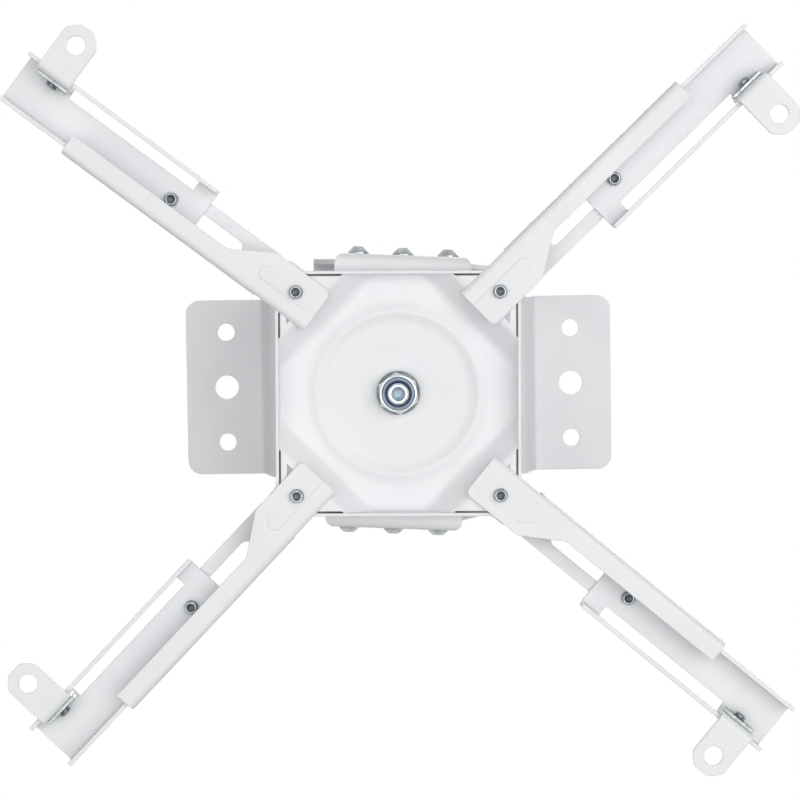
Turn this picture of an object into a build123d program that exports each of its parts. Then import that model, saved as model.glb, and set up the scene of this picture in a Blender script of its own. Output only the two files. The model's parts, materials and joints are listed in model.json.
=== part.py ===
from build123d import *
from math import atan2, radians, sin, sqrt, tan
import os

# Projector ceiling mount of folded and pressed steel sheet.
# Millimetres. +Z is up, the origin is the middle of the ceiling face, and the mount hangs below it.
# A bracket on the ceiling carries a hanger, the hanger carries a tilting cradle, the cradle carries a hub,
# and the hub carries four arms, each with a slide and a foot for the projector.

# Sheet thicknesses and inside bends
plate = 2.5
plate_bend = 2.5
sheet = 2.0
sheet_bend = 1.5

# Gaps
turn_gap = 0.2
slide_gap = 0.15
wall_gap = 1.0
lip_gap = 0.4
hole_gap = 0.1
thread_gap = 0.02
slot_gap = 0.3

# Ceiling bracket
bracket_length = 212.0
bracket_width = 87.0
bracket_depth = 30.0
bracket_shoulders = 132.0
bracket_web = 120.0
flange_corner = 7.0
hole_columns = 172.0
hole_pitch = 27.5
ceiling_hole = 8.6
centre_hole = 11.8

# Hanger and tilting cradle
cradle_span = 127.0
cradle_width = 63.6
cradle_ear_radius = 28.0
cradle_drop = 65.7
hanger_width = 87.0
hanger_root = 6.0
hanger_ear_edge = 8.0
hanger_ear_end = 11.0
ear_room = 0.8
tilt_screw_pitch = 21.0
tilt_limit = 15.0

# Hub
hub_side = 112.4
hub_sheet = 1.5
hub_rim = 12.2
hub_bend = 3.0
hub_ear_width = 18.6
hub_ear_straight = 3.0
hub_flare = 6.0
pivot_inset = 9.7
pad_length = 23.0
pad_ramp = 10.0
pad_bend = 4.0
pad_slit = 0.8
window_inset = 5.2
window_setback = 2.3
window_length = 8.5
bead_gap = 2.4
bead_width = 13.0
bead_height = 1.8

# Arm
arm_length = 123.6
arm_tail = 13.2
arm_width = 21.9
arm_free_edge = 9.4
arm_depth = 18.0
arm_lip = 10.0
arm_taper_start = 17.6
arm_taper_end = 36.8
arm_wall_start = 15.0
arm_corner = 3.0
arm_slot_start = 35.5
arm_slot_end = 112.0
panel_half = 5.0
panel_long = 27.5
panel_short = 14.5
panel_corner = 4.0
panel_rise = 0.7
panel_slope = 1.2

# Slide
slide_length = 106.1
slide_tail = 15.8
slide_width = 26.0
slide_window_start = 10.3
slide_window_end = 25.0
slide_window_width = 5.1
slide_slot_end = 10.2
slide_rail = 2.6

# Foot
foot_width = 17.7
foot_reach = 40.1
foot_hole_reach = 30.9
foot_hole = 8.7
foot_chamfer = 5.0
foot_round = 4.0
foot_drop = 2.0
leg_gap = 1.25
clamp_length = 17.0
clamp_height = 8.4
clamp_thickness = 1.8

# Small screws
screw = 6.0
screw_head = 10.5
screw_head_top = 5.4
screw_head_height = 3.4
screw_head_brim = 0.4
recess_length = 4.4
recess_width = 1.2
recess_depth = 1.9
screw_point = 0.8
pivot_tail = 3.5
slide_screw_tail = 3.4
clamp_tail = 2.2
tilt_tail = 1.5
screw_nut_flats = 10.0
screw_nut_height = 5.0
slide_washer = 14.0
slide_washer_thickness = 1.2

# Bolts
bolt = 10.0
bolt_flats = 17.0
bolt_head_height = 6.4
bolt_tail = 2.5
bolt_dimple = 6.8
bolt_dimple_depth = 1.2
bolt_washer = 20.0
bolt_washer_thickness = 2.0
nut_hex_height = 6.8
nut_collar = 15.0
nut_collar_height = 3.2
nut_lip = 1.0
insert_height = 2.4

# How the parts stand: turns about the vertical in degrees, and each arm's swing, reach and foot setback
hanger_turn = 2.9
hub_turn = 0.6
nut_turn = 24.0
arm_swing = (-5.6, -1.6, -8.4, 0.8)
arm_reach = (77.2, 72.5, 71.8, 74.0)
foot_setback = (16.2, 15.8, 16.1, 17.9)

# Heights, from the ceiling down
bracket_under = -bracket_depth
bracket_seat = bracket_under + plate
hanger_top = bracket_under - turn_gap
hanger_under = hanger_top - plate
cradle_under = bracket_under - cradle_drop
cradle_top = cradle_under + plate
lock_screw_drop = tilt_screw_pitch * sin(radians(tilt_limit))
tilt_height = cradle_top + plate_bend + ear_room + lock_screw_drop + hanger_ear_edge
hub_top = cradle_under - turn_gap
hub_floor = hub_top - hub_sheet
hub_edge = hub_top - hub_rim
pad_back = hub_edge + hub_sheet
arm_back = hub_edge - slide_gap
arm_face = arm_back - sheet
panel_face = arm_face - panel_rise
web_back = arm_face + arm_depth
web_face = web_back - sheet
slide_back = web_face - slide_gap
slide_floor = slide_back - sheet
slide_edge = arm_back + lip_gap
foot_face = arm_face - foot_drop
foot_back = foot_face + sheet
leg_top = slide_floor - leg_gap
foot_screw_height = slide_edge + slide_rail + slot_gap + screw / 2

# Places across the mount
cradle_face = cradle_span / 2
hanger_face = cradle_face - plate - slide_gap
hanger_back = hanger_face - plate
pivot_spacing = hub_side - 2 * pivot_inset
pivot_reach = pivot_spacing / sqrt(2)
hub_corner = hub_side / sqrt(2)
hub_ear_tip = hub_corner + hub_ear_straight
pad_edge = hub_corner - pad_length
ramp_foot = pad_edge - pad_ramp
ramp_angle = atan2(hub_floor - hub_edge, pad_ramp)
ramp_start = ramp_foot - (pad_bend + hub_sheet) * tan(ramp_angle / 2)
bead_outside = ramp_foot - bead_gap
bead_inside = bead_outside - bead_width
window_side = hub_side / 2 - window_inset
arm_wall = arm_free_edge - arm_width
arm_lip_edge = arm_wall + arm_lip
slide_wall = arm_wall + sheet + wall_gap
rail_face = slide_wall + slide_width
rail_back = rail_face - sheet
window_edge = rail_back - slide_window_width
leg_face = rail_back - slide_gap
leg_back = leg_face - sheet


def bent_sheet(plane, corners, thickness, inside_bend, width, centred=True):
    """A folded strip: corners trace its outer face, with the metal on the right of the path."""
    face_line = FilletPolyline(*corners, radius=inside_bend + thickness)
    profile = plane * make_face(offset(face_line, thickness, side=Side.RIGHT))
    if centred:
        return extrude(profile, width / 2, both=True)
    return extrude(profile, width)


def upright(sketch, low, high):
    """A flat outline drawn up from one height to another."""
    return extrude(Pos(0, 0, low) * sketch, high - low)


def hexagon(flats, height):
    """A hexagon block from z = 0 up, its upper corners turned off."""
    corner = flats / sqrt(3)
    block = extrude(RegularPolygon(flats / 2, 6, major_radius=False), height)
    turned = Cylinder(corner, height, align=(Align.CENTER, Align.CENTER, Align.MIN))
    rim = turned.edges().group_by(Axis.Z)[-1]
    return block & chamfer(rim, (corner - flats / 2) / 2, corner - flats / 2)


def washer(outside, inside, thickness):
    """A flat ring from z = 0 up."""
    return extrude(Circle(outside / 2) - Circle(inside / 2), thickness)


def pointed_shank(diameter, length):
    """A shank from z = 0 down, with a turned point."""
    shank = Cylinder(diameter / 2, length, align=(Align.CENTER, Align.CENTER, Align.MAX))
    return chamfer(shank.edges().group_by(Axis.Z)[0], screw_point)


def button_screw(length):
    """A button head screw: head above z = 0, shank below."""
    upward = (Align.CENTER, Align.CENTER, Align.MIN)
    brim = Cylinder(screw_head / 2, screw_head_brim, align=upward)
    crown = Cone(screw_head / 2, screw_head_top / 2, screw_head_height - screw_head_brim, align=upward)
    head = brim + Pos(0, 0, screw_head_brim) * crown
    slot = Box(recess_length, recess_width, recess_depth, align=(Align.CENTER, Align.CENTER, Align.MAX))
    recess = Pos(0, 0, screw_head_height) * (slot + Rot(0, 0, 90) * slot)
    return head - recess + pointed_shank(screw, length)


def hex_bolt(length):
    """A hexagon bolt: head above z = 0, shank below with a dimpled end."""
    depth = bolt_dimple_depth
    sphere_radius = (bolt_dimple ** 2 / 4 + depth ** 2) / (2 * depth)
    dimple = Pos(0, 0, -length - sphere_radius + depth) * Sphere(sphere_radius)
    return hexagon(bolt_flats, bolt_head_height) + pointed_shank(bolt, length) - dimple


def lock_nut_parts():
    """A lock nut from z = 0 down, its collar lowest, and the nylon ring that the collar holds."""
    bore = bolt / 2 + thread_gap
    collar_end = nut_hex_height + nut_collar_height
    ring_radius = nut_collar / 2 - nut_lip
    body = hexagon(bolt_flats, nut_hex_height) + Pos(0, 0, nut_hex_height) * Cylinder(
        nut_collar / 2, nut_collar_height, align=(Align.CENTER, Align.CENTER, Align.MIN))
    body = fillet(body.edges().filter_by(GeomType.CIRCLE).group_by(Axis.Z)[-1], nut_lip)
    body -= Cylinder(bore, collar_end, align=(Align.CENTER, Align.CENTER, Align.MIN))
    ring_start = collar_end - insert_height
    body -= Pos(0, 0, ring_start) * Cylinder(
        ring_radius, insert_height, align=(Align.CENTER, Align.CENTER, Align.MIN))
    ring = Pos(0, 0, ring_start) * washer(2 * ring_radius, 2 * bore, insert_height - nut_lip / 2)
    upside_down = Rot(180, 0, 0)
    return upside_down * body, upside_down * ring


def ceiling_bracket():
    """The hat strip on the ceiling, with two holes for screws and one for an anchor in each flange."""
    half = bracket_length / 2
    shoulder = bracket_shoulders / 2
    web = bracket_web / 2
    corners = [(-half, 0), (-shoulder, 0), (-web, bracket_seat),
               (web, bracket_seat), (shoulder, 0), (half, 0)]
    body = bent_sheet(Plane.XZ, corners, plate, plate_bend, bracket_width)
    ends = body.edges().filter_by(Axis.Z).group_by(lambda edge: abs(edge.center().X))[-1]
    body = fillet(ends, flange_corner)
    holes = Circle(bolt / 2 + hole_gap)
    for side in (-1, 1):
        holes += Pos(side * hole_columns / 2, 0) * Circle(centre_hole / 2)
        for end in (-1, 1):
            holes += Pos(side * hole_columns / 2, end * hole_pitch) * Circle(ceiling_hole / 2)
    return body - upright(holes, -bracket_depth, plate)


def through_ears(sketch):
    """A sketch of the ears' side view drawn right across the mount."""
    return extrude(Plane.XZ * sketch, cradle_span, both=True)


def tilt_circles(steps, radius):
    """Circles about the tilt screws in the ears' side view."""
    circles = Sketch()
    for step in steps:
        circles += Pos(step * tilt_screw_pitch, tilt_height) * Circle(radius)
    return circles


def hanger():
    """The inner yoke: a wide web under the bracket, and ears that narrow to a row of three screws."""
    low = tilt_height - hanger_ear_end
    corners = [(-hanger_face, low), (-hanger_face, hanger_top), (hanger_face, hanger_top), (hanger_face, low)]
    body = bent_sheet(Plane.YZ, corners, plate, plate_bend, hanger_width)
    root = Pos(0, hanger_top - hanger_root / 2) * Rectangle(hanger_width, hanger_root)
    ends = tilt_circles((-1, 1), hanger_ear_edge) + tilt_circles((0,), hanger_ear_end)
    body &= through_ears(make_hull(root.edges() + ends.edges()))
    body -= through_ears(tilt_circles((-1, 0, 1), screw / 2 + hole_gap))
    return body - upright(Circle(bolt / 2 + hole_gap), hanger_under, hanger_top)


def cradle():
    """The outer yoke: a web on the hub, and round ears outside the hanger's with arc slots for the lock screws."""
    high = tilt_height + cradle_ear_radius
    corners = [(cradle_face, high), (cradle_face, cradle_under), (-cradle_face, cradle_under), (-cradle_face, high)]
    body = bent_sheet(Plane.YZ, corners, plate, plate_bend, cradle_width)
    shoulder = cradle_under + plate + plate_bend
    half = cradle_width / 2
    radius = cradle_ear_radius
    neck = Polyline((-half, cradle_under), (half, cradle_under), (radius, shoulder), (radius, tilt_height),
                    (-radius, tilt_height), (-radius, shoulder), close=True)
    body &= through_ears(make_face(neck) + tilt_circles((0,), radius))
    cuts = tilt_circles((0,), screw / 2 + hole_gap)
    for middle in (0, 180):
        path = CenterArc((0, tilt_height), tilt_screw_pitch, middle - tilt_limit, 2 * tilt_limit)
        cuts += SlotArc(path, screw + 2 * slot_gap)
    body -= through_ears(cuts)
    return body - upright(Circle(bolt / 2 + hole_gap), cradle_under, cradle_top)


def tilt_places(steps, face):
    """Places of the tilt screws with +Z pointing out of each ear."""
    places = []
    for step in steps:
        places.append(Location((step * tilt_screw_pitch, face, tilt_height), (-90, 0, 0)))
        places.append(Location((step * tilt_screw_pitch, -face, tilt_height), (90, 0, 0)))
    return places


def tilt_screws(steps):
    """Button head screws through both ears of each side."""
    face = cradle_face + slide_gap
    length = face - hanger_back + screw_nut_height + tilt_tail
    return Compound([(place * button_screw(length)).solid() for place in tilt_places(steps, face)])


def tilt_nuts():
    """Hexagon nuts on the inside of the hanger's ears."""
    nut = hexagon(screw_nut_flats, screw_nut_height)
    nut -= Cylinder(screw / 2 + thread_gap, 3 * screw_nut_height)
    inward = Rot(180, 0, 0) * nut
    return Compound([(place * inward).solid() for place in tilt_places((-1, 0, 1), hanger_back)])


def hub_plan(inset):
    """Outline of the hub: a square with an ear under each arm, drawn in by an inset."""
    width = hub_ear_width
    ear_end = hub_ear_tip - width / 2
    ear = Pos(ear_end / 2, 0) * Rectangle(ear_end, width) + Pos(ear_end, 0) * Circle(width / 2)
    plan = Rectangle(hub_side, hub_side)
    for corner in range(4):
        plan += Rot(0, 0, 45 + 90 * corner) * ear
    inner_corners = plan.vertices().sort_by_distance((0, 0, 0))[:8]
    plan = fillet(inner_corners, hub_flare)
    return offset(plan, -inset) if inset else plan


def hub_pad():
    """One corner pad with its ramp, along +X, as a folded strip as wide as the hub."""
    start = ramp_start - pad_ramp
    corners = [(hub_ear_tip, hub_edge), (pad_edge, hub_edge), (ramp_foot, hub_floor), (start, hub_floor)]
    return bent_sheet(Plane.XZ, corners, hub_sheet, pad_bend, hub_side)


def pad_window(side):
    """The three-cornered window in a pad, beside the rim on the left or right of the hub."""
    tip = (pad_edge + window_setback) * sqrt(2) - window_side
    half = window_length / 2
    points = [(window_side, tip), (window_side, tip + window_length), (window_side - half, tip + half)]
    return make_face(Polyline(*[(side[0] * x, side[1] * y) for x, y in points], close=True))


def hub():
    """The pressed hub: a rimmed pan with four pads raised to the rim's edge, and a ring bead."""
    block = upright(hub_plan(0), hub_edge, hub_top)
    block = fillet(block.faces().sort_by(Axis.Z)[-1].edges(), hub_bend)
    pan = offset(block, -hub_sheet, openings=block.faces().sort_by(Axis.Z)[0])
    inside = hub_plan(hub_sheet + pad_slit)
    in_rim = hub_plan(hub_sheet / 2)
    corner_area = Pos(ramp_start, 0) * Rectangle(hub_side, 2 * hub_side, align=(Align.MIN, Align.CENTER))
    ramp_area = Pos(ramp_start, 0) * Rectangle(pad_edge - ramp_start, 2 * hub_side, align=(Align.MIN, Align.CENTER))
    for corner in range(4):
        turn = Rot(0, 0, 45 + 90 * corner)
        pan -= upright(inside & (turn * corner_area), hub_floor, hub_top)
        outline = inside + (in_rim & (turn * ramp_area))
        pan += (turn * hub_pad()) & block & upright(outline, hub_edge, hub_top)
    bead_line = Spline((bead_inside, hub_floor), ((bead_inside + bead_outside) / 2, hub_floor - bead_height),
                       (bead_outside, hub_floor), tangents=((1, 0), (1, 0)))
    section = make_face([bead_line, Line(bead_line @ 1, bead_line @ 0)])
    bead = revolve(Plane.XZ * section, Axis.Z)
    pan = pan + bead - Pos(0, 0, hub_sheet) * bead
    holes = Circle(bolt / 2 + hole_gap)
    for x in (-1, 1):
        for y in (-1, 1):
            holes += Pos(x * pivot_spacing / 2, y * pivot_spacing / 2) * Circle(screw / 2 + hole_gap)
            holes += pad_window((x, y))
    return pan - upright(holes, hub_edge, hub_top)


def arm_panel():
    """The pressed panel about the pivot, open at the arm's end: what it adds to the near face."""
    start = -arm_tail - 2 * panel_slope
    outline = Polyline((start, -panel_half), (panel_long, -panel_half), (panel_short, panel_half),
                       (start, panel_half), close=True)
    foot_outline = make_face(outline)
    foot_outline = fillet(foot_outline.vertices().sort_by(Axis.X)[-2:], panel_corner)
    top_outline = offset(foot_outline, -panel_slope)
    panel = loft([Pos(0, 0, arm_face) * foot_outline, Pos(0, 0, panel_face) * top_outline], ruled=True)
    past_end = Rectangle(4 * panel_slope, 4 * panel_half, align=(Align.MAX, Align.CENTER))
    return panel - upright(Pos(-arm_tail, 0) * past_end, panel_face, arm_face)


def arm():
    """A C channel along +X from its pivot: wide plate at the pivot, narrow lip beyond, slotted far web."""
    corners = [(arm_free_edge, arm_face), (arm_wall, arm_face), (arm_wall, web_back), (arm_free_edge, web_back)]
    body = bent_sheet(Plane.YZ.offset(-arm_tail), corners, sheet, sheet_bend, arm_length + arm_tail, False)
    past = arm_length + arm_tail
    taper = Polyline((arm_taper_start, arm_free_edge), (arm_taper_end, arm_lip_edge), (past, arm_lip_edge),
                     (past, arm_free_edge), close=True)
    body -= upright(make_face(taper), arm_face, arm_back)
    tail_room = Rectangle(arm_tail + arm_wall_start, 2 * arm_width, align=(Align.MIN, Align.CENTER))
    body -= upright(Pos(-arm_tail, 0) * tail_room, arm_back, web_back)
    free_corner = body.edges().filter_by(Axis.Z).sort_by_distance((-arm_tail, arm_free_edge, arm_face))[0]
    body = fillet(free_corner, arm_corner)
    slot_length = arm_slot_end - arm_slot_start
    slot = Pos(arm_slot_start + slot_length / 2, 0) * SlotCenterToCenter(slot_length, screw + 2 * slot_gap)
    body -= upright(slot, web_face, web_back)
    panel = arm_panel()
    body = body + panel - Pos(0, 0, sheet) * panel
    return body - upright(Circle(screw / 2 + thread_gap), panel_face, arm_back)


def arm_pivot_screw():
    """The screw from behind a pad into the arm's plate."""
    head_seat = pad_back + slide_gap
    return Pos(0, 0, head_seat) * button_screw(head_seat - arm_face + pivot_tail)


def slide():
    """A channel along +X about its own screw, with a window along its rail's bend and a slot on through the rail."""
    corners = [(slide_wall, slide_edge), (slide_wall, slide_back), (rail_face, slide_back), (rail_face, slide_edge)]
    body = bent_sheet(Plane.YZ.offset(-slide_tail), corners, sheet, sheet_bend, slide_length, False)
    start = slide_window_start - slide_tail
    window_run = slide_length - slide_window_start - slide_window_end
    window = Box(window_run, rail_face - window_edge, slide_back - slide_edge - slide_rail,
                 align=(Align.MIN, Align.MIN, Align.MAX))
    body -= Pos(start, window_edge, slide_back) * window
    slot_height = screw + 2 * slot_gap
    slot_run = slide_length - slide_window_start - slide_slot_end
    slot = Pos(start + slot_run / 2, foot_screw_height) * SlotOverall(slot_run, slot_height)
    body -= extrude(Plane.XZ.offset(-rail_face) * slot, 2 * sheet)
    return body - upright(Circle(screw / 2 + thread_gap), slide_floor, slide_back)


def slide_screw_seat():
    """Height of the slide screw's head, on its washer behind the arm."""
    return web_back + slide_gap + slide_washer_thickness


def slide_screw():
    """The screw through the arm's slot into the slide."""
    seat = slide_screw_seat()
    return Pos(0, 0, seat) * button_screw(seat - slide_floor + slide_screw_tail)


def slide_screw_washer():
    """The washer that spans the arm's slot."""
    ring = washer(slide_washer, screw + 2 * hole_gap, slide_washer_thickness)
    return Pos(0, 0, web_back + slide_gap) * ring


def foot():
    """An L tab about its screw: a leg against the rail and a flat tongue with the projector's hole."""
    corners = [(foot_reach, foot_face), (leg_back, foot_face), (leg_back, leg_top)]
    body = bent_sheet(Plane.YZ, corners, sheet, sheet_bend, foot_width)
    tip = body.edges().filter_by(Axis.Z).group_by(lambda edge: edge.center().Y)[-1]
    body = chamfer(tip, foot_chamfer)
    body = fillet(body.edges().filter_by(Axis.Z).sort_by(Axis.Y)[-4:], foot_round)
    body -= upright(Pos(0, foot_hole_reach) * Circle(foot_hole / 2), foot_face, foot_back)
    bore = Cylinder(screw / 2 + hole_gap, 2 * sheet)
    return body - Location((0, leg_face, foot_screw_height), (90, 0, 0)) * bore


def foot_screw():
    """The screw through the rail's slot and the foot into its clamp plate."""
    head_seat = rail_face + slide_gap
    length = head_seat - (leg_back - clamp_thickness) + clamp_tail
    return Location((0, head_seat, foot_screw_height), (-90, 0, 0)) * button_screw(length)


def foot_clamp():
    """The tapped plate on the inside of the foot's leg."""
    block = Box(clamp_length, clamp_height, clamp_thickness, align=(Align.CENTER, Align.CENTER, Align.MIN))
    block -= Cylinder(screw / 2 + thread_gap, 4 * clamp_thickness)
    return Location((0, leg_back, foot_screw_height), (90, 0, 0)) * block


def bolt_set(name, head_seat, nut_seat):
    """A hexagon bolt down through two webs, with its washer, lock nut and nylon ring."""
    washer_seat = nut_seat - slide_gap
    nut_top = washer_seat - bolt_washer_thickness
    nut_end = nut_top - nut_hex_height - nut_collar_height
    nut, ring = lock_nut_parts()
    ring_washer = washer(bolt_washer, bolt + 2 * hole_gap, bolt_washer_thickness)
    return {
        name + "_bolt": Pos(0, 0, head_seat) * hex_bolt(head_seat - nut_end + bolt_tail),
        name + "_washer": Pos(0, 0, nut_top) * ring_washer,
        name + "_nut": Pos(0, 0, nut_top) * Rot(0, 0, nut_turn) * nut,
        name + "_nylon_ring": Pos(0, 0, nut_top) * ring,
    }


def build_parts():
    """Every piece by name, at its place in the mount."""
    parts = {"ceiling_bracket": ceiling_bracket()}
    parts.update(bolt_set("hanger", bracket_seat, hanger_under))

    hanger_place = Rot(0, 0, hanger_turn)
    parts["hanger"] = hanger_place * hanger()
    parts["cradle"] = hanger_place * cradle()
    parts["tilt_pivot_screws"] = hanger_place * tilt_screws((0,))
    parts["tilt_lock_screws"] = hanger_place * tilt_screws((-1, 1))
    parts["tilt_nuts"] = hanger_place * tilt_nuts()
    parts.update(bolt_set("hub", cradle_top, hub_floor))

    hub_place = Rot(0, 0, hub_turn)
    parts["hub"] = hub_place * hub()
    arm_pieces = {"arm": arm(), "arm_pivot_screw": arm_pivot_screw()}
    slide_pieces = {"slide": slide(), "slide_screw": slide_screw(), "slide_washer": slide_screw_washer()}
    foot_pieces = {"foot": foot(), "foot_screw": foot_screw(), "foot_clamp": foot_clamp()}
    for corner in range(4):
        place = hub_place * Rot(0, 0, 45 + 90 * corner) * Pos(pivot_reach, 0) * Rot(0, 0, arm_swing[corner])
        slide_place = place * Pos(arm_reach[corner], 0)
        foot_place = slide_place * Pos(slide_length - slide_tail - foot_setback[corner], 0)
        for pieces, at in ((arm_pieces, place), (slide_pieces, slide_place), (foot_pieces, foot_place)):
            for name, shape in pieces.items():
                parts[f"{name}_{corner + 1}"] = at * shape
    return parts


os.makedirs("parts", exist_ok=True)
for part_name, part_shape in build_parts().items():
    export_step(part_shape, os.path.join("parts", part_name + ".step"))
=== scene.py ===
import json
import math
from collections import namedtuple

import bmesh
import bpy
from mathutils import Matrix, Vector

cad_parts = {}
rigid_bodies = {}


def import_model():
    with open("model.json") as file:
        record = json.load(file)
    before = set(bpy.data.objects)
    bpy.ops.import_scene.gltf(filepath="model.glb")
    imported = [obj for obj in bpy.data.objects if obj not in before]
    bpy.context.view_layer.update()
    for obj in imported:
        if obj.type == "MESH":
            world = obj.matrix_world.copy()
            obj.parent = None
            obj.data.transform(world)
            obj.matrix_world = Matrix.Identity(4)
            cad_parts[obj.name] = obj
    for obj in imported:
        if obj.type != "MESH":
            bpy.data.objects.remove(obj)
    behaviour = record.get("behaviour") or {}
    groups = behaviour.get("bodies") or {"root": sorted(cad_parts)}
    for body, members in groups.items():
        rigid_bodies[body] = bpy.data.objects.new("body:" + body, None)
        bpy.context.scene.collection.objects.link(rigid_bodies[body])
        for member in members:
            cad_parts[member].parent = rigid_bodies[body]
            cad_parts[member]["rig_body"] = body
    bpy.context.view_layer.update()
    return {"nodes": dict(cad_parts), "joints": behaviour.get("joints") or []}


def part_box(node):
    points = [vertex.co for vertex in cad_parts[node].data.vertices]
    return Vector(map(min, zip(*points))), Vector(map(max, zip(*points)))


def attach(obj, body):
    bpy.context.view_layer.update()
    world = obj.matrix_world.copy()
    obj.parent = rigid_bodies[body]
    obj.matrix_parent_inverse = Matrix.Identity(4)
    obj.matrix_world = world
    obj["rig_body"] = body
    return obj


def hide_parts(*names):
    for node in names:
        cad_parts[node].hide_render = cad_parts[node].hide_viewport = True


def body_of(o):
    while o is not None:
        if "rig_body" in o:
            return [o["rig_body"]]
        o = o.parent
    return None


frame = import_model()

# A white projector mount that hangs from a ceiling at z = 0. Metres, in the frame of the CAD part.
nodes = frame["nodes"]
joints = {joint["name"]: joint for joint in frame["joints"]}
scene = bpy.context.scene
MM = 0.001
UP = (0, 0, 1)
DOWN = (0, 0, -1)
ACROSS = (1, 0, 0)
ARMS = (1, 2, 3, 4)

# Surfaces taken from the CAD part
WELD = 1e-6
FLAT = math.radians(0.4)
SHARP = math.radians(32)
SHEET_EDGE = 0.28 * MM
FASTENER_EDGE = 0.14 * MM
EDGE_SEGMENTS = 2
EDGE_PROFILE = 0.5

# The hub's rim, in millimetres from the middle of the hub; the lean is the least inward normal
RIM_INSIDE = 53.6
RIM_LEAN = 0.3
SLIT_END = 25.6

# Threaded shanks, in millimetres. The tip is an outline of (radius, height above the end), the cup
# is the radius of its hollow, and the thread starts above the end and stops below the head.
Shank = namedtuple("Shank", "radius root pitch start stop cup tip")
M6 = Shank(radius=3.0, root=2.56, pitch=1.0, start=0.8, stop=1.0, cup=2.1,
           tip=((0, 0.75), (0.95, 0.66), (1.65, 0.38), (2.05, 0.04), (2.2, 0), (2.35, 0.02),
                (2.92, 0.62)))
M10 = Shank(radius=5.0, root=4.2, pitch=1.5, start=1.0, stop=3.0, cup=3.2,
            tip=((0, 1.25), (1.7, 1.0), (2.7, 0.55), (3.35, 0.05), (3.6, 0), (4.1, 0.03),
                 (4.75, 0.75)))
CUP_DEPTH = 1.3
BORE_PLAY = 0.02
LATHE_STEPS = 44

# Button heads, in millimetres. An ease, here and below, is the (width, height) of a turned-off edge.
HEAD_RADIUS = 5.25
HEAD_TOP = 2.7
HEAD_HEIGHT = 3.4
HEAD_BRIM = 0.4
HEAD_EASE = (0.15, 0.12)
DOME_RINGS = 8
DOME_POWER = 1.5
CROSS_LENGTH = 4.4
CROSS_WIDTH = 1.2
CROSS_DEPTH = 1.9
CROSS_TAPER = 0.8
TILT_SHANK = 11.8

# Hexagons and washers, in millimetres. A seat's ease is counted from the hexagon's corners, a
# top's ease has its width counted from the flats.
HEX_SIDES = 6
TILT_NUT_FLATS = 10.0
TILT_NUT_HEIGHT = 5.0
TILT_NUT_EASE = (0.75, 0.45)
TILT_NUT_BORE_EASE = (0.35, 0.3)
BOLT_FLATS = 17.0
BOLT_HEAD = 6.4
BOLT_SEAT_EASE = (0.9, 0.4)
BOLT_TOP_EASE = (0.1, 0.8)
NUT_HEX = 6.8
NUT_HEIGHT = 10.0
NUT_SEAT_EASE = (0.9, 0.5)
NUT_TOP_EASE = (0.2, 1.1)
NUT_TURN = math.radians(24)
WASHER_PLAY = 0.1
WASHER_EASE = (0.22, 0.22)

# A lock nut's collar. Its foot is (out from the collar, up from the hexagon), its lip is (in from
# the collar, down from the top) outside and (radius, down from the top) inside.
COLLAR = 7.5
COLLAR_FOOT = ((0.3, 0.05), (0, 0.4))
COLLAR_TINT = 0.2
LIP_SEAT = 2.4
LIP_OUTSIDE = ((0, 1.1), (0.08, 0.7), (0.3, 0.35), (0.62, 0.1))
LIP_INSIDE = ((6.55, 0), (6.32, 0.08), (6.22, 0.3), (6.4, 0.48), (6.5, LIP_SEAT))

# The nylon ring: both ends down from the nut's top, its face as (radius, height above its top)
RING_LOW = 2.38
RING_TOP = 0.5
RING_RADIUS = 6.46
RING_FACE = ((6.38, 0), (5.9, 0.06), (5.4, -0.04))
RING_CHAMFER = 0.4

# Surface textures: scales of the shade, the gloss and the grain, and the grain's strength and depth
Texture = namedtuple("Texture", "tint mottle detail grain strength depth")
COAT = Texture(tint=18.0, mottle=40.0, detail=2.0, grain=900.0, strength=0.10, depth=0.2 * MM)
METAL = Texture(tint=320.0, mottle=700.0, detail=3.0, grain=2500.0, strength=0.12, depth=0.1 * MM)
NYLON = Texture(tint=500.0, mottle=900.0, detail=2.0, grain=1800.0, strength=0.10, depth=0.1 * MM)
TINT_DETAIL = 3.0
GRAIN_DETAIL = 2.0
NOISE_LOW, NOISE_HIGH = 0.3, 0.7
MIX_AMOUNT, MIX_DARK, MIX_LIGHT, MIX_COLOUR = 0, 6, 7, 2
WHITE = (1, 1, 1, 1)

# Studio
AMBIENT = 0.32
FLOOR_HEIGHT = -2.6
FLOOR_SIZE = 40.0
FLOOR_GLOW = 0.50
FLOOR_TINT = 1.5
FLOOR_DARK = (0.80, 0.80, 0.80)
FLOOR_LIGHT = (0.83, 0.83, 0.83)
FLOOR_ROUGHNESS = 0.9
LAMP_SIZE = 1.4
LAMP_TARGET = (0, 0, -0.08)
LAMPS = (("key", (0.78, -0.20, -1.6), 15.0),
         ("fill", (-0.60, 0.05, -1.7), 9.5),
         ("top", (0.3, -0.6, 1.2), 14.0))
CAMERA_LENS = 108.75
CAMERA_SENSOR = 36.0
CAMERA_CLIP = (0.01, 50.0)
CAMERA_PLACE = (0.00314, -0.04658, -1.21114)
CAMERA_FORWARD = (-0.00219, 0.04479, 0.99899)
CAMERA_RIGHT = (0.99990, 0.01413, 0.00156)


def add_node(tree, kind, values, **links):
    """One shader node, with the values of its sockets and the sockets that feed it."""
    node = tree.nodes.new(kind)
    for key, value in values.items():
        node.inputs[key].default_value = value
    for key, socket in links.items():
        tree.links.new(socket, node.inputs[key])
    return node


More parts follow.
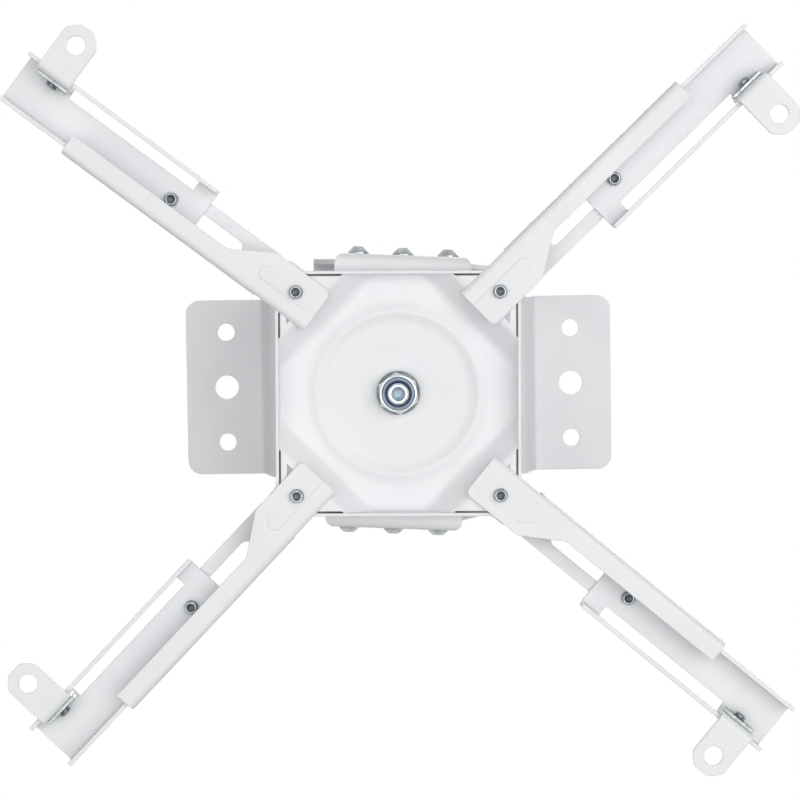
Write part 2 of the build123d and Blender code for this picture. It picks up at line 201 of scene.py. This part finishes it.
def mottle(tree, place, scale, detail, low, high):
    """A soft noise over the surface, spread from low to high."""
    noise = add_node(tree, "ShaderNodeTexNoise", {"Scale": scale, "Detail": detail}, Vector=place)
    limits = {"From Min": NOISE_LOW, "From Max": NOISE_HIGH, "To Min": low, "To Max": high}
    spread = add_node(tree, "ShaderNodeMapRange", limits, Value=noise.outputs["Fac"])
    return spread.outputs["Result"]


def tint(tree, place, scale, dark, light):
    """A colour that drifts between two close shades over the surface."""
    mix = tree.nodes.new("ShaderNodeMix")
    mix.data_type = "RGBA"
    mix.inputs[MIX_DARK].default_value = (*dark, 1)
    mix.inputs[MIX_LIGHT].default_value = (*light, 1)
    amount = mottle(tree, place, scale, TINT_DETAIL, 0.0, 1.0)
    tree.links.new(amount, mix.inputs[MIX_AMOUNT])
    return mix.outputs[MIX_COLOUR]


def grain(tree, place, texture):
    """A fine unevenness in the surface, as a normal."""
    values = {"Scale": texture.grain, "Detail": GRAIN_DETAIL}
    noise = add_node(tree, "ShaderNodeTexNoise", values, Vector=place)
    values = {"Strength": texture.strength, "Distance": texture.depth}
    bump = add_node(tree, "ShaderNodeBump", values, Height=noise.outputs["Fac"])
    return bump.outputs["Normal"]


def start_material(name):
    """A node material with its tree, its shader and the object's own coordinates."""
    material = bpy.data.materials.new(name)
    material.use_nodes = True
    tree = material.node_tree
    shader = tree.nodes["Principled BSDF"]
    place = tree.nodes.new("ShaderNodeTexCoord").outputs["Object"]
    return material, tree, shader, place


def make_finish(name, texture, dark, light, rough, metallic=0.0):
    """A surface whose shade and gloss drift a little, with a fine grain."""
    material, tree, shader, place = start_material(name)
    shader.inputs["Metallic"].default_value = metallic
    gloss = mottle(tree, place, texture.mottle, texture.detail, *rough)
    tree.links.new(tint(tree, place, texture.tint, dark, light), shader.inputs["Base Color"])
    tree.links.new(gloss, shader.inputs["Roughness"])
    tree.links.new(grain(tree, place, texture), shader.inputs["Normal"])
    return material


coat = make_finish("white_powder_coat", COAT, (0.80, 0.81, 0.83), (0.85, 0.86, 0.875), (0.40, 0.52))
zinc = make_finish("zinc_plate", METAL, (0.30, 0.32, 0.33), (0.54, 0.565, 0.575), (0.16, 0.30), 1.0)
# Painted light: a lighter copy of the zinc plate, for the bolts and lock nuts where the light falls
# on them
painted_light_zinc = make_finish("zinc_plate_painted_light", METAL, (0.66, 0.70, 0.73), (0.78, 0.82, 0.84),
                          (0.16, 0.26), 1.0)
clamp_zinc = make_finish("clamp_zinc_plate", METAL, (0.24, 0.265, 0.27), (0.40, 0.43, 0.43),
                         (0.24, 0.38), 1.0)
# Painted shade: a dark copy of the zinc plate for the bolts' washers, which lie in shade round the
# nuts
painted_shade_zinc = make_finish("zinc_plate_painted_shade", METAL, (0.08, 0.09, 0.09), (0.17, 0.185, 0.185),
                        (0.26, 0.40), 1.0)
# Blue zinc: in the bolt's end it paints shade into the cup; it also colours the lock nut's collar
blue_zinc = make_finish("blue_zinc_plate", METAL, (0.22, 0.28, 0.34), (0.33, 0.40, 0.47),
                        (0.40, 0.55), 0.8)
# Painted shade: a dark steel tone for the hub rim's inner wall along the pads' slits, which lie in
# shade
painted_slit_shade = make_finish("painted_slit_shade", METAL, (0.300, 0.307, 0.314), (0.390, 0.397, 0.404),
                         (0.50, 0.65), 0.3)
# Painted shade: a dark tone for the hollow cup in a screw's end
cup_shade_finish = make_finish("screw_cup_painted_shade", METAL, (0.060, 0.068, 0.076), (0.120, 0.134, 0.148),
                      (0.40, 0.55), 0.6)
nylon = make_finish("blue_nylon", NYLON, (0.012, 0.03, 0.09), (0.022, 0.05, 0.13), (0.34, 0.46))


def cad_copy(name):
    """A CAD node's triangles welded into one surface, its flat stretches made whole."""
    shape = bmesh.new()
    shape.from_mesh(nodes[name].data)
    bmesh.ops.remove_doubles(shape, verts=shape.verts, dist=WELD)
    bmesh.ops.dissolve_limit(shape, angle_limit=FLAT, verts=shape.verts, edges=shape.edges)
    return shape


def close_faces(shape):
    """Caps what is open and turns all faces outwards."""
    rims = [edge for edge in shape.edges if edge.is_boundary]
    if rims:
        bmesh.ops.holes_fill(shape, edges=rims, sides=0)
    bmesh.ops.recalc_face_normals(shape, faces=shape.faces)


def lathe(outline, closed=False):
    """Turns an outline of (radius, height) in millimetres about +Z; a closed one gives a ring."""
    shape = bmesh.new()
    points = [shape.verts.new((radius * MM, 0, height * MM)) for radius, height in outline]
    edges = [shape.edges.new(pair) for pair in zip(points, points[1:])]
    if closed:
        edges.append(shape.edges.new((points[-1], points[0])))
    bmesh.ops.spin(shape, geom=points + edges, cent=(0, 0, 0), axis=UP, angle=2 * math.pi,
                   steps=LATHE_STEPS, use_merge=True)
    bmesh.ops.remove_doubles(shape, verts=shape.verts, dist=WELD)
    close_faces(shape)
    return shape


def hex_corner(flats):
    """The radius to a hexagon's corners."""
    return flats / math.sqrt(3)


def mill_flats(shape, flats):
    """Cuts six flats on a turned blank, with corners on +X."""
    for side in range(HEX_SIDES):
        angle = math.radians(30 + 60 * side)
        facing = Vector((math.cos(angle), math.sin(angle), 0))
        everything = shape.verts[:] + shape.edges[:] + shape.faces[:]
        bmesh.ops.bisect_plane(shape, geom=everything, dist=WELD, plane_co=facing * flats / 2 * MM,
                               plane_no=facing, clear_outer=True)
        close_faces(shape)


def split_faces(shape, faces, place, normal):
    """Cuts a line into some faces where a plane crosses them."""
    edges = dict.fromkeys(edge for face in faces for edge in face.edges)
    corners = dict.fromkeys(vert for face in faces for vert in face.verts)
    bmesh.ops.bisect_plane(shape, geom=[*faces, *edges, *corners], dist=WELD, plane_co=place,
                           plane_no=normal)


def thread(size, low, high):
    """Crests and roots of a thread up a shank, as an outline."""
    turns = int((high - low) / size.pitch)
    outline = []
    for turn in range(turns):
        outline.append((size.radius, low + size.pitch * turn))
        outline.append((size.root, low + size.pitch * (turn + 0.5)))
    return outline + [(size.radius, low + size.pitch * turns)]


def shank(size, length):
    """The outline of a shank from its hollow end up to its head at z = 0."""
    end = -length
    tip = [(radius, end + rise) for radius, rise in size.tip]
    return tip + thread(size, end + size.start, -size.stop) + [(size.radius, 0)]


def paint_cup_shade(shape, size, length):
    """Gives the cup in a shank's end the second material, a darker tone that paints shade into the
    hollow.
    """
    for face in shape.faces:
        middle = face.calc_center_median()
        if middle.z < (CUP_DEPTH - length) * MM and middle.xy.length < size.cup * MM:
            face.material_index = 1


def press_cross(shape):
    """Presses the cross recess into the flat top of a screw head."""
    top = HEAD_HEIGHT * MM

    def top_faces():
        return [face for face in shape.faces
                if all(abs(vert.co.z - top) < WELD for vert in face.verts)]

    for reach in (CROSS_LENGTH, CROSS_WIDTH):
        for side in ((1, 0, 0), (-1, 0, 0), (0, 1, 0), (0, -1, 0)):
            split_faces(shape, top_faces(), Vector(side) * reach / 2 * MM, side)
    long, wide = CROSS_LENGTH / 2 * MM, CROSS_WIDTH / 2 * MM
    cross = []
    for face in top_faces():
        near, far = sorted(abs(value) for value in face.calc_center_median().xy)
        if near < wide and far < long:
            cross.append(face)
    pressed = bmesh.ops.extrude_face_region(shape, geom=cross)["geom"]
    floor = [item for item in pressed if isinstance(item, bmesh.types.BMVert)]
    bmesh.ops.scale(shape, vec=(CROSS_TAPER, CROSS_TAPER, 1), verts=floor)
    bmesh.ops.translate(shape, vec=(0, 0, -CROSS_DEPTH * MM), verts=floor)


def button_screw(length):
    """An M6 button head screw: head above z = 0, cupped shank below."""
    head = [(HEAD_RADIUS - HEAD_EASE[0], 0), (HEAD_RADIUS, HEAD_EASE[1])]
    for ring in range(DOME_RINGS + 1):
        rise = ring / DOME_RINGS
        head.append((HEAD_TOP + (HEAD_RADIUS - HEAD_TOP) * (1 - rise ** DOME_POWER),
                     HEAD_BRIM + (HEAD_HEIGHT - HEAD_BRIM) * rise))
    shape = lathe(shank(M6, length) + head)
    press_cross(shape)
    paint_cup_shade(shape, M6, length)
    return shape


def tilt_screw():
    """A screw through both yokes' ears."""
    return button_screw(TILT_SHANK)


def hexagon(flats, height, seat_ease, top_ease):
    """The outline of a hexagon's blank, turned off at its seat and at its top."""
    corner = hex_corner(flats)
    return [(corner - seat_ease[0], 0), (corner, seat_ease[1]), (corner, height - top_ease[1]),
            (flats / 2 - top_ease[0], height)]


def hex_bolt(length):
    """An M10 hexagon bolt: head above z = 0, threaded and dimpled shank below."""
    shape = lathe(shank(M10, length) + hexagon(BOLT_FLATS, BOLT_HEAD, BOLT_SEAT_EASE, BOLT_TOP_EASE))
    mill_flats(shape, BOLT_FLATS)
    paint_cup_shade(shape, M10, length)
    return shape


def lock_nut():
    """An M10 lock nut from its seat at z = 0 up to the lip that holds the nylon ring."""
    bore = M10.radius + BORE_PLAY
    outline = [(bore, 0)] + hexagon(BOLT_FLATS, NUT_HEX, NUT_SEAT_EASE, NUT_TOP_EASE)
    outline += [(COLLAR + out, NUT_HEX + rise) for out, rise in COLLAR_FOOT]
    outline += [(COLLAR - inward, NUT_HEIGHT - drop) for inward, drop in LIP_OUTSIDE]
    outline += [(radius, NUT_HEIGHT - drop) for radius, drop in LIP_INSIDE]
    outline.append((bore, NUT_HEIGHT - LIP_SEAT))
    shape = lathe(outline, closed=True)
    mill_flats(shape, BOLT_FLATS)
    for face in shape.faces:
        if face.calc_center_median().z > (NUT_HEX + COLLAR_TINT) * MM:
            face.material_index = 1
    return shape


def nylon_ring():
    """The nylon ring inside a lock nut's lip, in the nut's own height."""
    bore = M10.radius + BORE_PLAY
    low, top = NUT_HEIGHT - RING_LOW, NUT_HEIGHT - RING_TOP
    face = [(radius, top + rise) for radius, rise in RING_FACE]
    return lathe([(bore, low), (RING_RADIUS, low), *face, (bore, top - RING_CHAMFER)], closed=True)


def eased_ring(inside, outside, height, inner, outer):
    """A turned ring from z = 0 up, its edges eased inside and outside."""
    (bore_width, bore_height), (rim_width, rim_height) = inner, outer
    outline = [(inside, bore_height), (inside + bore_width, 0),
               (outside - rim_width, 0), (outside, rim_height),
               (outside, height - rim_height), (outside - rim_width, height),
               (inside + bore_width, height), (inside, height - bore_height)]
    return lathe(outline, closed=True)


def small_nut():
    """An M6 nut from its seat at z = 0 up, turned off at both faces."""
    shape = eased_ring(M6.radius + BORE_PLAY, hex_corner(TILT_NUT_FLATS), TILT_NUT_HEIGHT,
                       TILT_NUT_BORE_EASE, TILT_NUT_EASE)
    mill_flats(shape, TILT_NUT_FLATS)
    return shape


def put(shape, place, out, across):
    """Moves a shape so that its +Z points out and its +X points across."""
    out, across = Vector(out), Vector(across)
    turn = Matrix((across, out.cross(across), out)).transposed()
    bmesh.ops.transform(shape, matrix=Matrix.Translation(place) @ turn.to_4x4(), verts=shape.verts)
    return shape


def gather(shapes):
    """Several shapes as one."""
    whole = shapes[0]
    for shape in shapes[1:]:
        mesh = bpy.data.meshes.new("gathered")
        shape.to_mesh(mesh)
        shape.free()
        whole.from_mesh(mesh)
        bpy.data.meshes.remove(mesh)
    return whole


def make_piece(shape, name, materials, node_name, edge=0.0):
    """Turns a bmesh into a shown piece that stands for a CAD node and rides with it."""
    mesh = bpy.data.meshes.new(name)
    shape.to_mesh(mesh)
    shape.free()
    for polygon in mesh.polygons:
        polygon.use_smooth = True
    mesh.set_sharp_from_angle(angle=SHARP)
    for material in materials:
        mesh.materials.append(material)
    piece = bpy.data.objects.new(name, mesh)
    scene.collection.objects.link(piece)
    if edge:
        rounding = piece.modifiers.new("rounded_edges", "BEVEL")
        rounding.limit_method = "ANGLE"
        rounding.angle_limit = SHARP
        rounding.width = edge
        rounding.segments = EDGE_SEGMENTS
        rounding.profile = EDGE_PROFILE
        rounding.use_clamp_overlap = False
    flats = piece.modifiers.new("even_flats", "WEIGHTED_NORMAL")
    flats.keep_sharp = True
    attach(piece, body_of(nodes[node_name])[0])
    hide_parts(node_name)


def coat_sheet(name):
    """A sheet piece with rounded cut edges and the white coat."""
    make_piece(cad_copy(name), name + "_coated", [coat], name, SHEET_EDGE)


def plate_piece(shape, name, edge=0.0, finishes=(zinc, cup_shade_finish)):
    """A zinc piece for a CAD fastener."""
    make_piece(shape, name + "_plated", finishes, name, edge)


def rim_inside(face):
    """How far along its side of the hub a face of the rim's inner wall lies, or None elsewhere."""
    middle = face.calc_center_median()
    across = 0 if abs(middle.x) > abs(middle.y) else 1
    inward = -math.copysign(1.0, middle[across]) * face.normal[across]
    if inward < RIM_LEAN or abs(middle[across]) < RIM_INSIDE * MM:
        return None
    return abs(middle[1 - across])


def paint_slit_shade(shape):
    """Paints shade on the rim's inner wall along the pads' slits: its faces there take the second
    material, a dark steel tone.
    """
    for normal in (Vector((1, 0, 0)), Vector((0, 1, 0))):
        for place in (-SLIT_END * MM, SLIT_END * MM):
            walls = [face for face in shape.faces if rim_inside(face) is not None]
            split_faces(shape, walls, normal * place, normal)
    for face in shape.faces:
        along = rim_inside(face)
        if along is not None and along > SLIT_END * MM:
            face.material_index = 1
    return shape


def span(name, direction):
    """How far a CAD node reaches along a direction: the least and the most."""
    reach = [vert.co.dot(direction) for vert in nodes[name].data.vertices]
    return min(reach), max(reach)


def upright_screw(name):
    """An arm's screw with its head up."""
    low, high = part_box(name)
    seat = Vector(((low.x + high.x) / 2, (low.y + high.y) / 2, high.z - HEAD_HEIGHT * MM))
    plate_piece(put(button_screw((seat.z - low.z) / MM), seat, UP, ACROSS), name)


def foot_screw(name, along):
    """A foot's screw, level, with its head outside the rail."""
    out = Vector((-along.y, along.x, 0))
    near, far = span(name, out)
    level, side = span(name, Vector(UP)), span(name, along)
    seat = (out * (far - HEAD_HEIGHT * MM) + along * sum(side) / 2
            + Vector((0, 0, sum(level) / 2)))
    plate_piece(put(button_screw((far - near) / MM - HEAD_HEIGHT), seat, out, along), name)


def flat_washer(name, size, finish):
    """A level washer with rounded edges."""
    low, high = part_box(name)
    disc = eased_ring(size.radius + WASHER_PLAY, (high.x - low.x) / 2 / MM, (high.z - low.z) / MM,
                      WASHER_EASE, WASHER_EASE)
    place = ((low.x + high.x) / 2, (low.y + high.y) / 2, low.z)
    plate_piece(put(disc, place, UP, ACROSS), name, finishes=finish)


def bolt_group(name):
    """A bolt with its washer, lock nut and nylon ring, nut down."""
    turned = (math.cos(NUT_TURN), math.sin(NUT_TURN), 0)
    # The bolt and the nut's hexagon take the painted-light copy of the zinc
    plating = (painted_light_zinc, blue_zinc)
    low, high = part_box(name + "_bolt")
    seat = high.z - BOLT_HEAD * MM
    bolt = put(hex_bolt((seat - low.z) / MM), (0, 0, seat), UP, ACROSS)
    plate_piece(bolt, name + "_bolt", FASTENER_EDGE, plating)
    flat_washer(name + "_washer", M10, (painted_shade_zinc,))
    nut_seat = (0, 0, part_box(name + "_nut")[1].z)
    nut = put(lock_nut(), nut_seat, DOWN, turned)
    plate_piece(nut, name + "_nut", FASTENER_EDGE, plating)
    ring = put(nylon_ring(), nut_seat, DOWN, turned)
    make_piece(ring, name + "_nylon_ring_moulded", [nylon], name + "_nylon_ring")


tilt_axis = Vector(joints["tilt"]["axis"])
tilt_along = Vector((tilt_axis.y, -tilt_axis.x, 0))
tilt_height = Vector((0, 0, joints["tilt"]["pos_m"][2]))


def tilt_hardware(name, steps, make, face, facing, edge=0.0):
    """Level screws or nuts on both sides of the yokes, at steps along the ears."""
    shapes = []
    for side in (1, -1):
        out = tilt_axis * side
        for step in steps:
            place = out * face + tilt_along * step + tilt_height
            shapes.append(put(make(), place, out * facing, tilt_along))
    plate_piece(gather(shapes), name, edge)


for sheet_name in ("ceiling_bracket", "hanger", "cradle"):
    coat_sheet(sheet_name)
# The rim's inner wall along the slits gets painted shade
hub = paint_slit_shade(cad_copy("hub"))
make_piece(hub, "hub_coated", [coat, painted_slit_shade], "hub", SHEET_EDGE)
bolt_group("hanger")
bolt_group("hub")

screw_face = span("tilt_pivot_screws", tilt_axis)[1] - HEAD_HEIGHT * MM
nut_face = span("tilt_nuts", tilt_axis)[1]
screw_low, screw_high = span("tilt_lock_screws", tilt_along)
tilt_pitch = (screw_high - screw_low) / 2 - HEAD_RADIUS * MM
tilt_hardware("tilt_pivot_screws", (0,), tilt_screw, screw_face, 1)
tilt_hardware("tilt_lock_screws", (-tilt_pitch, tilt_pitch), tilt_screw, screw_face, 1)
tilt_hardware("tilt_nuts", (-tilt_pitch, 0, tilt_pitch), small_nut, nut_face, -1, FASTENER_EDGE)

for arm in ARMS:
    for kind in ("arm", "slide", "foot"):
        coat_sheet(f"{kind}_{arm}")
    upright_screw(f"arm_pivot_screw_{arm}")
    upright_screw(f"slide_screw_{arm}")
    foot_screw(f"foot_screw_{arm}", Vector(joints[f"extend_{arm}"]["axis"]))
    clamp_name = f"foot_clamp_{arm}"
    plate_piece(cad_copy(clamp_name), clamp_name, SHEET_EDGE, (clamp_zinc,))
    flat_washer(f"slide_washer_{arm}", M6, (zinc, cup_shade_finish))


def soft_lamp(name, place, power):
    """A square soft box that faces the mount and isn't seen itself."""
    lamp = bpy.data.lights.new(name, "AREA")
    lamp.size = LAMP_SIZE
    lamp.energy = power
    holder = bpy.data.objects.new(name, lamp)
    holder.location = place
    holder.visible_camera = False
    facing = Vector(LAMP_TARGET) - holder.location
    holder.rotation_euler = facing.to_track_quat("-Z", "Y").to_euler()
    scene.collection.objects.link(holder)


def seen_rays(tree):
    """1 for what the camera, a mirror or glass sees, 0 for light that falls on a surface."""
    rays = tree.nodes.new("ShaderNodeLightPath")
    seen = rays.outputs["Is Camera Ray"]
    for ray in ("Is Glossy Ray", "Is Transmission Ray"):
        either = tree.nodes.new("ShaderNodeMath")
        either.operation = "MAXIMUM"
        tree.links.new(seen, either.inputs[0])
        tree.links.new(rays.outputs[ray], either.inputs[1])
        seen = either.outputs[0]
    return seen


def white_surround():
    """World light: white where the camera, a mirror or glass sees it, softer on the mount."""
    world = bpy.data.worlds.new("studio")
    scene.world = world
    world.use_nodes = True
    tree = world.node_tree
    background = tree.nodes["Background"]
    background.inputs["Color"].default_value = WHITE
    limits = {"To Min": AMBIENT, "To Max": 1.0}
    level = add_node(tree, "ShaderNodeMapRange", limits, Value=seen_rays(tree))
    tree.links.new(level.outputs["Result"], background.inputs["Strength"])


def pale_floor():
    """The room's floor, far below the mount, a little brighter where it is seen."""
    shape = bmesh.new()
    bmesh.ops.create_grid(shape, x_segments=1, y_segments=1, size=FLOOR_SIZE)
    bmesh.ops.translate(shape, verts=shape.verts, vec=(0, 0, FLOOR_HEIGHT))
    mesh = bpy.data.meshes.new("floor")
    shape.to_mesh(mesh)
    shape.free()
    material, tree, shader, place = start_material("pale_floor")
    shade = tint(tree, place, FLOOR_TINT, FLOOR_DARK, FLOOR_LIGHT)
    tree.links.new(shade, shader.inputs["Base Color"])
    shader.inputs["Roughness"].default_value = FLOOR_ROUGHNESS
    shader.inputs["Emission Color"].default_value = WHITE
    glow = add_node(tree, "ShaderNodeMapRange", {"To Max": FLOOR_GLOW}, Value=seen_rays(tree))
    tree.links.new(glow.outputs["Result"], shader.inputs["Emission Strength"])
    mesh.materials.append(material)
    floor = bpy.data.objects.new("floor", mesh)
    scene.collection.objects.link(floor)


def photo_camera():
    """The camera under the mount, looking up with the bracket's length across the picture."""
    lens = bpy.data.cameras.new("photo_camera")
    lens.sensor_width = CAMERA_SENSOR
    lens.lens = CAMERA_LENS
    lens.clip_start, lens.clip_end = CAMERA_CLIP
    camera = bpy.data.objects.new("photo_camera", lens)
    forward = Vector(CAMERA_FORWARD).normalized()
    right = Vector(CAMERA_RIGHT)
    right = (right - forward * right.dot(forward)).normalized()
    up = right.cross(forward)
    turn = Matrix((right, up, -forward)).transposed()
    camera.matrix_world = Matrix.Translation(CAMERA_PLACE) @ turn.to_4x4()
    scene.collection.objects.link(camera)
    scene.camera = camera


white_surround()
pale_floor()
photo_camera()
for lamp_name, lamp_place, lamp_power in LAMPS:
    soft_lamp(lamp_name, lamp_place, lamp_power)

scene.view_settings.view_transform = "Standard"
